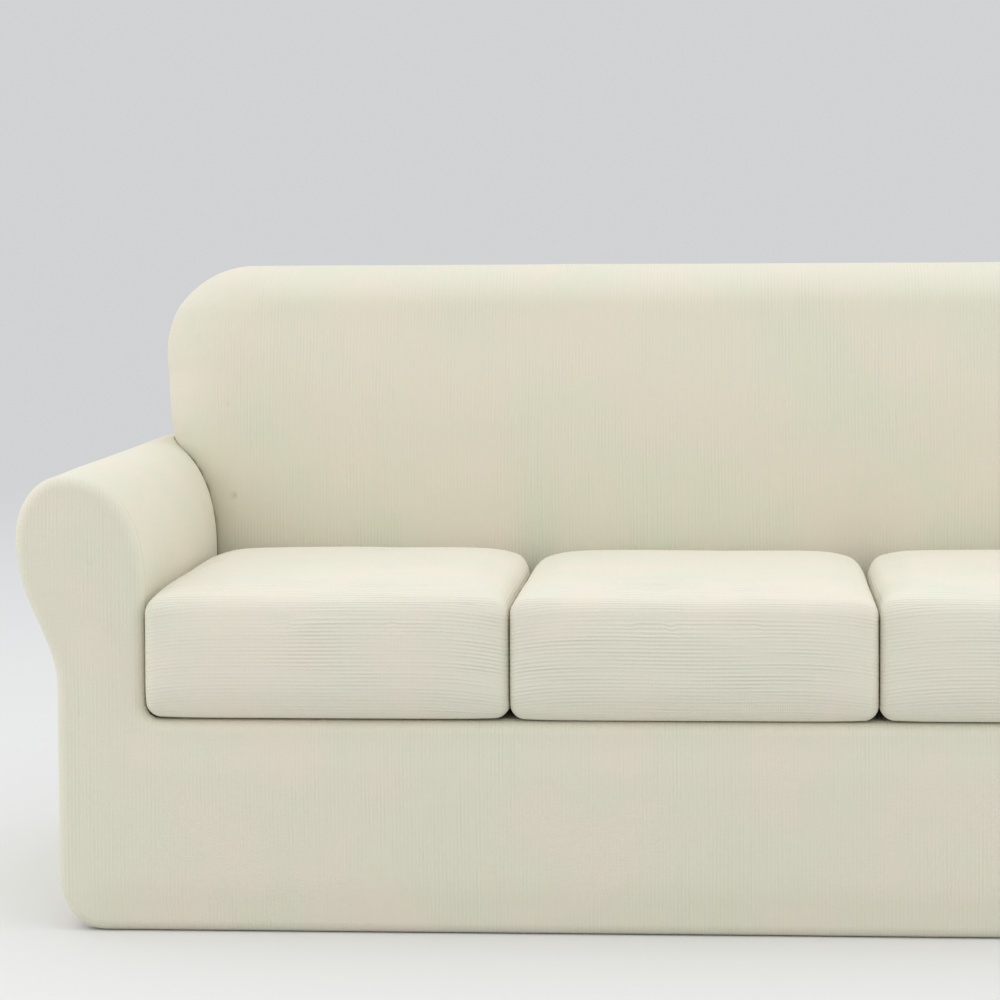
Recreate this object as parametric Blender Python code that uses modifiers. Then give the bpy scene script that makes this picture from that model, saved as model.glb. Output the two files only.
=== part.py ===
"""Stretch slipcover for a three-seat sofa with rolled arms and loose seat cushions.

The cover is nine cut pieces of ribbed knit, each a 3 mm sheet in the shape that it takes on the
sofa: a front panel, two arm sleeves, the inside and outside of the back, the deck under the
cushions, and three fitted cushion covers that are open underneath.

Metres, +Z up. The sofa faces -Y. The origin is at the bottom centre of the cover's box.
"""
from collections import namedtuple
from math import cos
from math import pi
from math import sin

import bmesh
import bpy
from mathutils import Vector
from mathutils.geometry import interpolate_bezier

# Cloth and fit
CLOTH = 0.003            # thickness of the stretch knit
GAP = 0.0003             # clearance where two pieces meet at a seam

# Overall places across the sofa (x), from front to rear (y) and up (z)
FRONT_Y = -0.420         # face of the skirt and of the arm fronts
REAR_Y = 0.440           # face of the outside back
SEAM_IN = 0.022          # how far a face's edge is eased round to its seam
FRONT_SEAM_Y = FRONT_Y + SEAM_IN
REAR_SEAM_Y = REAR_Y - SEAM_IN
EDGE_ROUND = 0.018       # rounding between a face and its turned edge
DECK_Z = 0.305           # top of the deck, on which the cushions stand
SKIRT_HALF = 0.845       # half of the flat part of the bottom edge
HEM_UNDER = 0.020        # hem turned under the frame at the sides

# Rolled arm
ARM_INNER_X = 0.788      # inside face of the arm
ARM_OUTER_X = 0.911      # outside face of the arm, below the roll
ROLL_X = 0.9755          # outermost point of the roll
ROLL_Z = 0.5625          # height of the outermost point
CREST_X = 0.903
CREST_Z = 0.656
ARM_RISE = 0.010         # the roll is this much higher at its rear end

# Backrest
BACK_WIDEST_Z = 0.812    # height where the rounded top corners start
BACK_TOP_Z = 0.958
BACK_CORNER_X = 0.135    # width of the rounded top corner
BACK_FACE_Y = 0.140      # inside face at deck height, beside the stuffing
BACK_LEAN = 0.105        # rearward lean of the face, per metre of height
BACK_ROUND_SIDE = 0.150  # how far in the rounding to the sides starts
BACK_ROUND_TOP = 0.085   # how far down the rounding to the top starts
BACK_SIDE_FLAT = 0.020   # straight run between the side's rounding and the rear seam
BACK_TOP_DEPTH = 0.125   # depth of the rounding at the top
BACK_CROWN = 0.010       # the stuffed face stands forward by this much

# Seat cushions
CUSHION_PITCH = 0.5245
CUSHION_HALF_X = 0.2577
CUSHION_FRONT_Y = -0.440
CUSHION_REAR_Y = 0.1280
CUSHION_SIDE_H = 0.172   # height of the cushion at its edges
CUSHION_ROUND = 0.040    # rounding of its edges and corners
CUSHION_REAR_LIFT = 0.010
CUSHION_BULGE = 0.007    # the front and the sides swell at mid height
CUSHION_HEM = 0.085      # elastic hem, turned under the cushion

# Where each cushion stands, in steps of the pitch, and how much its top is crowned
Seat = namedtuple("Seat", "name step crown")
SEATS = (
    Seat("cushion_cover_left", -1, 0.028),
    Seat("cushion_cover_centre", 0, 0.021),
    Seat("cushion_cover_right", 1, 0.024),
)

LINEN = (0.695, 0.665, 0.550)
LINEN_SEAT = (0.745, 0.720, 0.610)

Knot = namedtuple("Knot", "x z before after steps")

# Half width of the backrest from the deck upwards: it comes in where the arms press on its sides.
Side = namedtuple("Side", "z half")
BACK_SIDES = (
    Side(DECK_Z + 2 * GAP, 0.888),
    Side(0.560, 0.890),
    Side(0.640, 0.893),
    Side(0.670, 0.899),
    Side(0.700, 0.907),
    Side(0.740, 0.913),
    Side(BACK_WIDEST_Z, 0.914),
)

# Outer face of an arm, from the deck over the roll to the hem. Each row is a point, its handles
# as (dx, dz) before and after it, and the number of steps to the next point.
ARM_KNOTS = (
    Knot(ARM_INNER_X, DECK_Z + GAP, (0, 0), (0, 0), 1),
    Knot(ARM_INNER_X, 0.490, (0, 0), (0, 0.105), 8),
    Knot(CREST_X, CREST_Z, (-0.072, 0), (0.042, 0), 6),
    Knot(ROLL_X, ROLL_Z, (0, 0.054), (0, -0.080), 8),
    Knot(ARM_OUTER_X, 0.290, (0, 0.125), (0, 0), 1),
    Knot(ARM_OUTER_X, 0.103, (0, 0), (0, -0.057), 6),
    Knot(SKIRT_HALF, 0.0, (0.040, 0), (0, 0), 1),
    Knot(SKIRT_HALF - HEM_UNDER, 0.0, (0, 0), (0, 0), 0),
)


def clear_scene():
    for old in list(bpy.data.objects):
        bpy.data.objects.remove(old, do_unlink=True)


def new_collection(name):
    group = bpy.data.collections.new(name)
    bpy.context.scene.collection.children.link(group)
    return group


def knit_material(name, colour):
    material = bpy.data.materials.new(name)
    material.use_nodes = True
    shader = material.node_tree.nodes["Principled BSDF"]
    shader.inputs["Base Color"].default_value = (*colour, 1.0)
    shader.inputs["Roughness"].default_value = 0.9
    shader.inputs["Metallic"].default_value = 0.0
    return material


def add_object(name, bm, group, colour=None):
    """Turn a bmesh into a named object, with a knit material of its own if it is cloth."""
    mesh = bpy.data.meshes.new(name)
    bm.to_mesh(mesh)
    bm.free()
    obj = bpy.data.objects.new(name, mesh)
    group.objects.link(obj)
    if colour is not None:
        mesh.materials.append(knit_material(name + "_knit", colour))
        mesh.shade_smooth()
    return obj


def add_cutter(name, bm, group):
    obj = add_object(name, bm, group)
    obj.hide_render = True
    obj.display_type = "WIRE"
    return obj


def thicken(obj):
    """Give an open surface the thickness of the cloth, inwards from its outer face."""
    shell = obj.modifiers.new("cloth", "SOLIDIFY")
    shell.thickness = CLOTH
    shell.offset = -1.0
    shell.use_even_offset = True


def cut_by(obj, cutter):
    trim = obj.modifiers.new("trim " + cutter.name, "BOOLEAN")
    trim.operation = "DIFFERENCE"
    trim.solver = "EXACT"
    trim.object = cutter


def face_outwards(bm, toward):
    """Make the faces agree, with the one that lies furthest along a direction facing that way."""
    bmesh.ops.recalc_face_normals(bm, faces=bm.faces[:])
    toward = Vector(toward)
    outermost = max(bm.faces, key=lambda face: face.calc_center_median().dot(toward))
    if outermost.normal.dot(toward) < 0:
        bmesh.ops.reverse_faces(bm, faces=bm.faces[:])


def loft(bm, rows, closed=False):
    """Join rows of points, all of one length, with quads, and return the rows of vertices."""
    lines = [[bm.verts.new(point) for point in row] for row in rows]
    for near, far in zip(lines, lines[1:]):
        count = len(near)
        for i in range(count if closed else count - 1):
            k = (i + 1) % count
            bm.faces.new((near[i], near[k], far[k], far[i]))
    return lines


def offset_outline(points, distance, closed=True):
    """Move each point of an outline sideways, to the left of its direction of travel."""
    moved = []
    count = len(points)
    for i, (x, z) in enumerate(points):
        before = Vector(points[i - 1]) if closed or i > 0 else None
        after = Vector(points[(i + 1) % count]) if closed or i < count - 1 else None
        here = Vector((x, z))
        ways = [way.normalized() for way in (
            here - before if before is not None else None,
            after - here if after is not None else None) if way is not None]
        normals = [Vector((-way.y, way.x)) for way in ways]
        middle = sum(normals, Vector((0, 0))).normalized()
        reach = distance / max(0.5, middle.dot(normals[0]))
        moved.append((x + middle.x * reach, z + middle.y * reach))
    return moved


def arm_section(rise=0.0, grow=0.0):
    """Outer face of the right arm as (x, z) points, from the deck over the roll to the hem."""
    points = [(ARM_KNOTS[0].x, ARM_KNOTS[0].z)]
    for here, there in zip(ARM_KNOTS, ARM_KNOTS[1:]):
        start = Vector((here.x, here.z, 0))
        end = Vector((there.x, there.z, 0))
        leave = start + Vector((*here.after, 0))
        arrive = end + Vector((*there.before, 0))
        if here.steps == 1:
            points.append((end.x, end.y))
            continue
        curve = interpolate_bezier(start, leave, arrive, end, here.steps + 1)
        points.extend((point.x, point.y) for point in curve[1:])
    lifted = []
    for x, z in points:
        share = min(1.0, max(0.0, (z - DECK_Z) / (CREST_Z - DECK_Z)))
        lifted.append((x, z + rise * share))
    return offset_outline(lifted, grow, closed=False) if grow else lifted


def back_outline(share=0.0, grow=0.0):
    """Half outline of the backrest as (x, z) points, from the deck to the middle of the top.

    share runs from 0 at the outer edge to 1 where the rounding meets the face.
    """
    inset_x = BACK_ROUND_SIDE * share - grow
    top = BACK_TOP_Z - BACK_ROUND_TOP * share + grow
    half = BACK_SIDES[-1].half - inset_x
    tighter = 1 - 0.45 * min(1.0, share)
    radius_x = BACK_CORNER_X * tighter
    radius_z = (BACK_TOP_Z - BACK_WIDEST_Z) * tighter
    shoulder_z = top - radius_z
    foot_z = BACK_SIDES[0].z
    squash = (shoulder_z - foot_z) / (BACK_WIDEST_Z - foot_z)
    points = [(side.half - inset_x, foot_z + (side.z - foot_z) * squash) for side in BACK_SIDES[:-1]]
    for i in range(9):
        angle = pi / 2 * i / 8
        points.append((half - radius_x * (1 - cos(angle)), shoulder_z + radius_z * sin(angle)))
    for i in range(1, 5):
        points.append(((half - radius_x) * (1 - i / 4), top))
    return points


def whole(half_outline):
    """Mirror a half outline that ends at x = 0, from the left end over the middle to the right."""
    left = [(-x, z) for x, z in half_outline[:-1]]
    return left + [half_outline[-1]] + [(x, z) for x, z in reversed(half_outline[:-1])]


def face_y(z):
    return BACK_FACE_Y + BACK_LEAN * (z - DECK_Z)


def round_depth(z):
    """Depth of the rounding behind the inside face: deep at the sides, shallower over the top."""
    at_side = REAR_SEAM_Y - BACK_SIDE_FLAT - face_y(z)
    corner = (z - BACK_WIDEST_Z) / (BACK_TOP_Z - BACK_ROUND_TOP - BACK_WIDEST_Z)
    share = min(1.0, max(0.0, corner))
    return at_side + (BACK_TOP_DEPTH - at_side) * share


def back_rows(grow=0.0):
    """Rows of the inside back, from the rear seam round the edges and onto the face."""
    rows = []
    rim = whole(back_outline(0.0, grow))
    rear_y = REAR_SEAM_Y - GAP if grow == 0 else REAR_Y + SEAM_IN
    rows.append([(x, rear_y, z) for x, z in rim])
    steps = 6
    for i in range(steps + 1):
        angle = pi / 2 * i / steps
        share = 1 - cos(angle)
        fall = 1 - sin(angle)
        ring = whole(back_outline(share, grow))
        rows.append([(x, face_y(z) + round_depth(z) * fall - grow, z) for x, z in ring])
    for inward, forward in ((1.5, 0.6), (2.4, 1.0)):
        ring = whole(back_outline(inward, grow))
        rows.append([(x, face_y(z) - BACK_CROWN * forward - grow, z) for x, z in ring])
    return rows


def inside_back(group):
    bm = bmesh.new()
    lines = loft(bm, back_rows())
    bm.faces.new(lines[-1])
    face_outwards(bm, (0, -1, 0))
    obj = add_object("inside_back", bm, group, LINEN)
    thicken(obj)
    return obj


def back_block(group):
    """The space of the stuffed backrest, by which the arm sleeves are trimmed."""
    bm = bmesh.new()
    rows = back_rows(GAP)
    for row in rows:
        for end in (0, -1):
            row[end] = (row[end][0], row[end][1], DECK_Z - SEAM_IN)
    lines = loft(bm, rows, closed=True)
    bm.faces.new(lines[0])
    bm.faces.new(lines[-1])
    face_outwards(bm, (0, -1, 0))
    return add_cutter("back_block", bm, group)


def arm_sleeve(name, side, group):
    """Sleeve of one arm; side is -1 for the left arm and 1 for the right."""
    near = [(side * x, FRONT_SEAM_Y + GAP, z) for x, z in arm_section()]
    far = [(side * x, REAR_SEAM_Y - GAP, z) for x, z in arm_section(ARM_RISE)]
    bm = bmesh.new()
    loft(bm, (near, far))
    face_outwards(bm, (side, 0, 0))
    obj = add_object(name, bm, group, LINEN)
    thicken(obj)
    return obj


def arm_block(name, side, group):
    """The space of one arm above the deck, by which the inside back is trimmed."""
    near = [(side * x, FRONT_Y, z) for x, z in arm_section(0.0, GAP)]
    far = [(side * x, REAR_Y + SEAM_IN, z) for x, z in arm_section(ARM_RISE, GAP)]
    bm = bmesh.new()
    lines = loft(bm, (near, far), closed=True)
    bm.faces.new(lines[0])
    bm.faces.new(lines[1])
    face_outwards(bm, (side, 0, 0))
    return add_cutter(name, bm, group)


def rimmed_face(bm, outline, face_at, seam_at):
    """A flat face whose edge is eased round and turned back to the seam."""
    toward = 1 if seam_at > face_at else -1
    rows = [[(x, seam_at, z) for x, z in outline]]
    steps = 4
    for i in range(steps + 1):
        angle = pi / 2 * i / steps
        inset = EDGE_ROUND * (1 - cos(angle))
        y = face_at + toward * EDGE_ROUND * (1 - sin(angle))
        rows.append([(x, y, z) for x, z in offset_outline(outline, -inset)])
    lines = loft(bm, rows, closed=True)
    bm.faces.new(lines[-1])


def front_outline():
    """Outline of the front panel, clockwise as the viewer sees it, from the left hem."""
    arm = arm_section()[:-1]
    arm[0] = (ARM_INNER_X, DECK_Z)
    left = [(-x, z) for x, z in reversed(arm)]
    return left + arm


def front_panel(group):
    bm = bmesh.new()
    rimmed_face(bm, front_outline(), FRONT_Y, FRONT_SEAM_Y)
    face_outwards(bm, (0, -1, 0))
    obj = add_object("front_panel", bm, group, LINEN)
    thicken(obj)
    return obj


def rear_outline():
    """Outline of the outside back: the arm's outer line up to the backrest, then over its top."""
    arm = arm_section(ARM_RISE)[:-1]
    crest = max(range(len(arm)), key=lambda i: arm[i][1])
    crest_z = arm[crest][1]
    rolled = list(reversed(arm[crest:]))
    upper = [(x, z) for x, z in back_outline() if z > crest_z + EDGE_ROUND]
    return whole(rolled + [(back_half_at(crest_z), crest_z)] + upper)


def back_half_at(z):
    """Half width of the backrest at a height below its widest line."""
    line = back_outline()
    for (x0, z0), (x1, z1) in zip(line, line[1:]):
        if z0 <= z <= z1:
            return x0 + (x1 - x0) * (z - z0) / (z1 - z0)
    return line[0][0]


def outside_back(group):
    bm = bmesh.new()
    rimmed_face(bm, rear_outline(), REAR_Y, REAR_SEAM_Y)
    face_outwards(bm, (0, 1, 0))
    obj = add_object("outside_back", bm, group, LINEN)
    thicken(obj)
    return obj


def seat_deck(group):
    """Flat deck sheet, which ends a little behind the inside back and under the arm walls."""
    half = ARM_INNER_X + CLOTH
    near_y = FRONT_SEAM_Y + GAP
    far_y = face_y(DECK_Z) + 3 * CLOTH
    bm = bmesh.new()
    bmesh.ops.create_grid(bm, x_segments=6, y_segments=2, size=0.5)
    bmesh.ops.scale(bm, vec=(2 * half, far_y - near_y, 1), verts=bm.verts[:])
    bmesh.ops.translate(bm, vec=(0, (near_y + far_y) / 2, DECK_Z), verts=bm.verts[:])
    face_outwards(bm, (0, 0, 1))
    obj = add_object("seat_deck", bm, group, LINEN)
    thicken(obj)
    return obj


def stations(low, high, hem):
    """Places of the grid lines along one side of a cushion: close together at the rounded ends."""
    middle = (low + high) / 2
    half = (high - low) / 2
    ends = (half, half - CUSHION_ROUND * 0.45, half - CUSHION_ROUND)
    inner = (half - hem, (half - hem) / 2) if hem else ()
    steps = [*ends, *inner]
    return [middle - step for step in steps] + [middle] + [middle + step for step in reversed(steps)]


def rounded(place, low, high, radius):
    """Ease a point of a box's skin onto the same box with rounded edges."""
    core = Vector([min(max(place[i], low[i] + radius), high[i] - radius) for i in range(3)])
    out = place - core
    return core + out.normalized() * radius if out.length > 0 else place


def cushion_shape(place, low, high, crown_height):
    """Crown the top, swell the sides and lift the rear of a rounded cushion box."""
    middle = (low + high) / 2
    half = (high - low) / 2
    u = (place.x - middle.x) / half.x
    v = (place.y - middle.y) / half.y
    w = (place.z - middle.z) / half.z
    crown = crown_height * max(0.0, 1 - abs(u) ** 4) * max(0.0, 1 - abs(v) ** 4)
    lift = CUSHION_REAR_LIFT * (v + 1) / 2
    swell = CUSHION_BULGE * (1 - w * w)
    upper = max(0.0, (w + 1) / 2)
    return Vector((
        place.x + swell * u * (1 - abs(v) ** 4) * 0.5,
        place.y + swell * min(0.0, v) * (1 - abs(u) ** 4)
        + BACK_LEAN * (place.z - low.z) * max(0.0, v),
        place.z + (crown + lift) * upper))


def cushion_cover(seat, group):
    """Fitted cover: five rounded sides and a hem turned under, with the underside open."""
    centre_x = seat.step * CUSHION_PITCH
    low = Vector((centre_x - CUSHION_HALF_X, CUSHION_FRONT_Y + CUSHION_BULGE, DECK_Z + GAP))
    high = Vector((centre_x + CUSHION_HALF_X, CUSHION_REAR_Y, DECK_Z + CUSHION_SIDE_H))
    lines = (
        stations(low.x, high.x, CUSHION_HEM),
        stations(low.y, high.y, CUSHION_HEM),
        stations(low.z, high.z, 0),
    )
    bm = bmesh.new()
    bmesh.ops.create_cube(bm, size=2.0)
    for axis in range(3):
        along = [edge for edge in bm.edges
                 if abs((edge.verts[0].co - edge.verts[1].co)[axis]) > 1.5]
        bmesh.ops.subdivide_edges(bm, edges=along, cuts=len(lines[axis]) - 2, use_grid_fill=True)
    for vert in bm.verts:
        place = Vector([
            line[round((vert.co[axis] + 1) / 2 * (len(line) - 1))] for axis, line in enumerate(lines)])
        vert.co = place
    inner_x = CUSHION_HALF_X - CUSHION_HEM
    under = [face for face in bm.faces
             if face.calc_center_median().z < low.z + GAP
             and abs(face.calc_center_median().x - centre_x) < inner_x
             and low.y + CUSHION_HEM < face.calc_center_median().y < high.y - CUSHION_HEM]
    bmesh.ops.delete(bm, geom=under, context="FACES")
    for vert in bm.verts:
        vert.co = cushion_shape(rounded(vert.co, low, high, CUSHION_ROUND), low, high, seat.crown)
    face_outwards(bm, (0, 0, 1))
    obj = add_object(seat.name, bm, group, LINEN_SEAT)
    thicken(obj)
    return obj


def build():
    clear_scene()
    cover = new_collection("sofa_slipcover")
    cutters = new_collection("cutters")
    trim_back = back_block(cutters)
    back = inside_back(cover)
    for name, side in (("arm_left", -1), ("arm_right", 1)):
        sleeve = arm_sleeve(name, side, cover)
        cut_by(sleeve, trim_back)
        cut_by(back, arm_block(name + "_block", side, cutters))
    front_panel(cover)
    outside_back(cover)
    seat_deck(cover)
    for seat in SEATS:
        cushion_cover(seat, cover)


build()
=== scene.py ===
# %% [markdown]
# # A stretch slipcover for a three-seat sofa
#
# A stretch slipcover is a second skin of ribbed knit. It is cut in nine pieces: a front panel, two
# sleeves over the rolled arms, the inside and the outside of the back, a deck under the cushions,
# and three covers for the loose cushions. On the sofa the cloth is taut and takes the sofa's shape.
#
# It could be made by draping a sheet over a sofa in a simulation, but a fitted cover has almost no
# spare cloth to drape. So each cut piece is modelled in its stretched shape, with a UV map that is
# its flat pattern in metres. The ribs then run along the cloth as they do in the real knit.
#
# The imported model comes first. It gives the box that the cover has to stay in.

from math import cos, hypot, pi, radians, sin, tanh

import bmesh
import bpy
from mathutils import Euler, Matrix, Vector, kdtree, noise
from mathutils.geometry import interpolate_bezier


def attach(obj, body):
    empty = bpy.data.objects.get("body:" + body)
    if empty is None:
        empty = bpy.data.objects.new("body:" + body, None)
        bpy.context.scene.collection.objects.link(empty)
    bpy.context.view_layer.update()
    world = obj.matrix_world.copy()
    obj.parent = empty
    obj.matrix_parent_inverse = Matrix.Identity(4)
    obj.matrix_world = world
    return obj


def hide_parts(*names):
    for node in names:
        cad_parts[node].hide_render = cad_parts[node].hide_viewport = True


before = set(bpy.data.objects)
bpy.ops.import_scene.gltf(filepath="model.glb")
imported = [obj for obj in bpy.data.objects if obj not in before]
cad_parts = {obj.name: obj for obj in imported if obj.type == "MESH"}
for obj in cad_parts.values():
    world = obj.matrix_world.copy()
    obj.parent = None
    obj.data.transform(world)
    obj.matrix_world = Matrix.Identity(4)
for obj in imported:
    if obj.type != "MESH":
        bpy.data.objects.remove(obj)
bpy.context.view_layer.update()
print("Nodes to dress:", ", ".join(sorted(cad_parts)))

# %% [markdown]
# ## The camera
#
# The camera stands in front of the sofa, a little right of its middle and as high as its back, with
# a long lens. A product picture like this one is taken square to the sofa and cropped off centre.
#
# A cropped picture can be made by a large lens shift, but the shift stays when the camera moves
# round the sofa, and would push the sofa out of the frame there. So most of the crop is made by
# turning the camera a few degrees, and a small shift does the rest.

# %% Put up the camera
CAMERA_PLACE = (0.065, -4.45, 0.961)
CAMERA_TURN = radians(3.58)      # to the left
CAMERA_DIP = radians(1.79)       # down
CAMERA_ROLL = radians(-0.29)
CAMERA_LENS = 102.8              # millimetres
CAMERA_SENSOR = 36               # its width in millimetres
CAMERA_SIGHT = 200               # how far it sees, past the edge of the floor
CAMERA_SHIFT = (-0.06, -0.15)

camera_data = bpy.data.cameras.new("camera")
camera_data.sensor_width = CAMERA_SENSOR
camera_data.lens = CAMERA_LENS
camera_data.shift_x, camera_data.shift_y = CAMERA_SHIFT
camera_data.clip_end = CAMERA_SIGHT
camera = bpy.data.objects.new("camera", camera_data)
aim = Euler((pi / 2 - CAMERA_DIP, 0, CAMERA_TURN)).to_matrix()
roll = Matrix.Rotation(CAMERA_ROLL, 3, "Z")
camera.matrix_world = Matrix.Translation(CAMERA_PLACE) @ (aim @ roll).to_4x4()
bpy.context.scene.collection.objects.link(camera)
bpy.context.scene.camera = camera
print("Camera at", CAMERA_PLACE, "with a", CAMERA_LENS, "mm lens")

# %% [markdown]
# ## Floor and light
#
# The cover is pale, so it needs light that still draws its forms: bright on everything that faces
# up, softer on the fronts, and dim in the creases. A photographer would work in a pale room with a
# bright ceiling and stand one weak soft box at either side. So it is done here.
#
# The world is the studio round it: dim walls and a bright ceiling, which give most of the light.
# Far away the lamps no longer reach the floor, and a horizon would show as a hard line behind the
# sofa, so with distance the floor fades into the tone of the walls.

# %% Make the floor, the lamps and the world
FLOOR_HALF = 60.0
FLOOR_TONE = (0.72, 0.72, 0.71)
FLOOR_FADE = (1.4, 9.0)         # where the fade begins and ends, from the sofa
WORLD_TONE = (0.97, 0.98, 1.0)
WORLD_STRENGTH = 0.66
CEILING_STRENGTH = 1.26
CEILING_RISE = (0.25, 0.75)      # sine of the angle above the floor where the ceiling begins
LAMP_TONE = (1.0, 0.985, 0.955)
LAMPS = (                        # name, place, aim, width, height, watts
    ("left", (-3.2, -1.0, 1.7), (0.0, 0.0, 0.45), 2.0, 2.0, 18.0),
    ("right", (3.2, -1.0, 1.9), (0.0, 0.0, 0.45), 2.0, 2.0, 22.0),
)


def principled(name):
    """A new material, its node tree and its Principled shader."""
    material = bpy.data.materials.new(name)
    material.use_nodes = True
    return material, material.node_tree, material.node_tree.nodes["Principled BSDF"]


def add_node(tree, kind, **settings):
    """A node with some of its settings or inputs given by name."""
    node = tree.nodes.new(kind)
    for key, value in settings.items():
        if hasattr(node, key):
            setattr(node, key, value)
        else:
            node.inputs[key.replace("_", " ").title()].default_value = value
    return node


floor_mesh = bpy.data.meshes.new("floor")
bm = bmesh.new()
bmesh.ops.create_grid(bm, x_segments=1, y_segments=1, size=FLOOR_HALF)
bm.to_mesh(floor_mesh)
bm.free()
ground = bpy.data.objects.new("floor", floor_mesh)
bpy.context.scene.collection.objects.link(ground)
floor_paint, tree, shader = principled("pale_floor")
shader.inputs["Roughness"].default_value = 0.9
shader.inputs["Specular IOR Level"].default_value = 0.0
place = add_node(tree, "ShaderNodeTexCoord")
distance = add_node(tree, "ShaderNodeVectorMath", operation="LENGTH")
fade = add_node(tree, "ShaderNodeMapRange", interpolation_type="SMOOTHSTEP")
fade.inputs["From Min"].default_value, fade.inputs["From Max"].default_value = FLOOR_FADE
tree.links.new(place.outputs["Object"], distance.inputs[0])
tree.links.new(distance.outputs["Value"], fade.inputs["Value"])
for socket, near_tone, far_tone in (
        ("Base Color", FLOOR_TONE, (0, 0, 0)),
        ("Emission Color", (0, 0, 0), [tone * WORLD_STRENGTH for tone in WORLD_TONE])):
    blend = add_node(tree, "ShaderNodeMix", data_type="RGBA")
    blend.inputs["A"].default_value = (*near_tone, 1)
    blend.inputs["B"].default_value = (*far_tone, 1)
    tree.links.new(fade.outputs["Result"], blend.inputs["Factor"])
    tree.links.new(blend.outputs["Result"], shader.inputs[socket])
shader.inputs["Emission Strength"].default_value = 1.0
floor_mesh.materials.append(floor_paint)

for name, stand, target, width, depth, watts in LAMPS:
    lamp_data = bpy.data.lights.new(name, "AREA")
    lamp_data.shape = "RECTANGLE"
    lamp_data.size, lamp_data.size_y = width, depth
    lamp_data.energy = watts
    lamp_data.color = LAMP_TONE
    lamp = bpy.data.objects.new(name, lamp_data)
    lamp.location = stand
    lamp.visible_camera = False
    lamp.rotation_euler = (Vector(target) - Vector(stand)).to_track_quat("-Z", "Y").to_euler()
    bpy.context.scene.collection.objects.link(lamp)

world = bpy.data.worlds.new("soft_room")
world.use_nodes = True
tree = world.node_tree
room = tree.nodes["Background"]
room.inputs["Color"].default_value = (*WORLD_TONE, 1)
toward = add_node(tree, "ShaderNodeTexCoord")
height = add_node(tree, "ShaderNodeSeparateXYZ")
ceiling = add_node(tree, "ShaderNodeMapRange", interpolation_type="SMOOTHSTEP")
ceiling.inputs["From Min"].default_value, ceiling.inputs["From Max"].default_value = CEILING_RISE
ceiling.inputs["To Min"].default_value = WORLD_STRENGTH
ceiling.inputs["To Max"].default_value = CEILING_STRENGTH
tree.links.new(toward.outputs["Generated"], height.inputs["Vector"])
tree.links.new(height.outputs["Z"], ceiling.inputs["Value"])
tree.links.new(ceiling.outputs["Result"], room.inputs["Strength"])
bpy.context.scene.world = world
bpy.context.scene.view_settings.view_transform = "Standard"
print("Floor of", 2 * FLOOR_HALF, "m,", len(LAMPS), "soft lamps and a world")

# %% [markdown]
# ## The sofa's measurements
#
# A cover has no shape of its own: every piece follows the sofa inside it. So the sofa's lines come
# first, as a few named values and three curves. They are the arm's section, seen from the front,
# the outline of the back, and the lean of the backrest.
#
# The sofa faces -Y, +Z is up, and the origin is on the floor under its middle.

# %% Note the measurements
CLOTH = 0.003            # thickness of the stretched knit
GAP = 0.0003             # clearance between two pieces at a seam
FRONT_Y = -0.420
REAR_Y = 0.440
SEAM_IN = 0.022          # a face is eased round its edge and back to a seam this far in
FRONT_SEAM_Y = FRONT_Y + SEAM_IN
REAR_SEAM_Y = REAR_Y - SEAM_IN
EDGE_ROUND = 0.018
SEAM_DIP = 0.0012        # both edges sink a little at a seam
DECK_Z = 0.305
SKIRT_HALF = 0.845
HEM_UNDER = 0.020

ARM_INNER_X = 0.788
ARM_OUTER_X = 0.916
CREST_X, CREST_Z = 0.903, 0.656
ROLL_X, ROLL_Z = 0.9755, 0.5625
ARM_RISE = 0.010         # the roll is higher at its rear end

BACK_WIDEST_Z = 0.780    # the rounded top corners start at this height
BACK_TOP_Z = 0.955
BACK_CORNER_X = 0.160
BACK_FACE_Y = 0.128      # the face of the back at the deck, beside the stuffing
BACK_LEAN = 0.125        # metres to the rear for each metre of height
BACK_FULL = 0.065        # the stuffing stands out this far over the foot of the face
BACK_FULL_UP = 0.500     # and reaches its fullest this far above the deck
BACK_ROUND_SIDE = 0.150  # the face turns back this far from the sides
BACK_ROUND_TOP = 0.070   # and this far below the top
BACK_SIDE_FLAT = 0.020   # the side is flat for this far before its rear seam
BACK_TOP_DEPTH = 0.100
BACK_CROWN = 0.013
BACK_TIGHTER = 0.45      # share by which the corner tightens from the seam to the face
BACK_SIDES = (           # (height, half width) up the side of the back
    (DECK_Z + 2 * GAP, 0.888), (0.560, 0.890), (0.640, 0.893),
    (0.670, 0.897), (0.700, 0.901), (0.740, 0.904), (BACK_WIDEST_Z, 0.906),
)

# The arm's section: points (x, z), then the handles before and after each as (dx, dz).
ARM_KNOTS = (
    ((ARM_INNER_X, DECK_Z + GAP), (0, 0), (0, 0)),
    ((ARM_INNER_X, 0.490), (0, 0), (0, 0.105)),
    ((CREST_X, CREST_Z), (-0.072, 0), (0.042, 0)),
    ((ROLL_X, ROLL_Z), (0, 0.054), (0, -0.090)),
    ((ARM_OUTER_X, 0.350), (0, 0.072), (0, 0)),
    ((ARM_OUTER_X, 0.095), (0, 0), (0, -0.060)),
    ((SKIRT_HALF, 0.0), (0.047, 0), (0, 0)),
    ((SKIRT_HALF - HEM_UNDER, 0.0), (0, 0), (0, 0)),
)
print("The cover is", round(2 * ROLL_X, 3), "m wide,", BACK_TOP_Z, "m high")

# %% [markdown]
# ## Lines that the cloth follows
#
# A smooth line is easiest to steer with Bezier handles, as in the curve editor. For a mesh it is
# then cut into even steps, because even steps keep the cloth's squares even. A line that is moved
# sideways gives the rows inside an edge, and its flat length gives the pattern's size.

# %% Draw, space out and offset lines
CURVE_POINTS = 60        # between two knots of the arm's section
SIDE_POINTS = 10         # between two heights up the side of the back
CORNER_POINTS = 24
TOP_POINTS = 80
SHARP = radians(30)      # a line that turns by more than this has a corner
MITRE_LIMIT = 0.6        # keeps a corner that is moved sideways from shooting out


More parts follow.
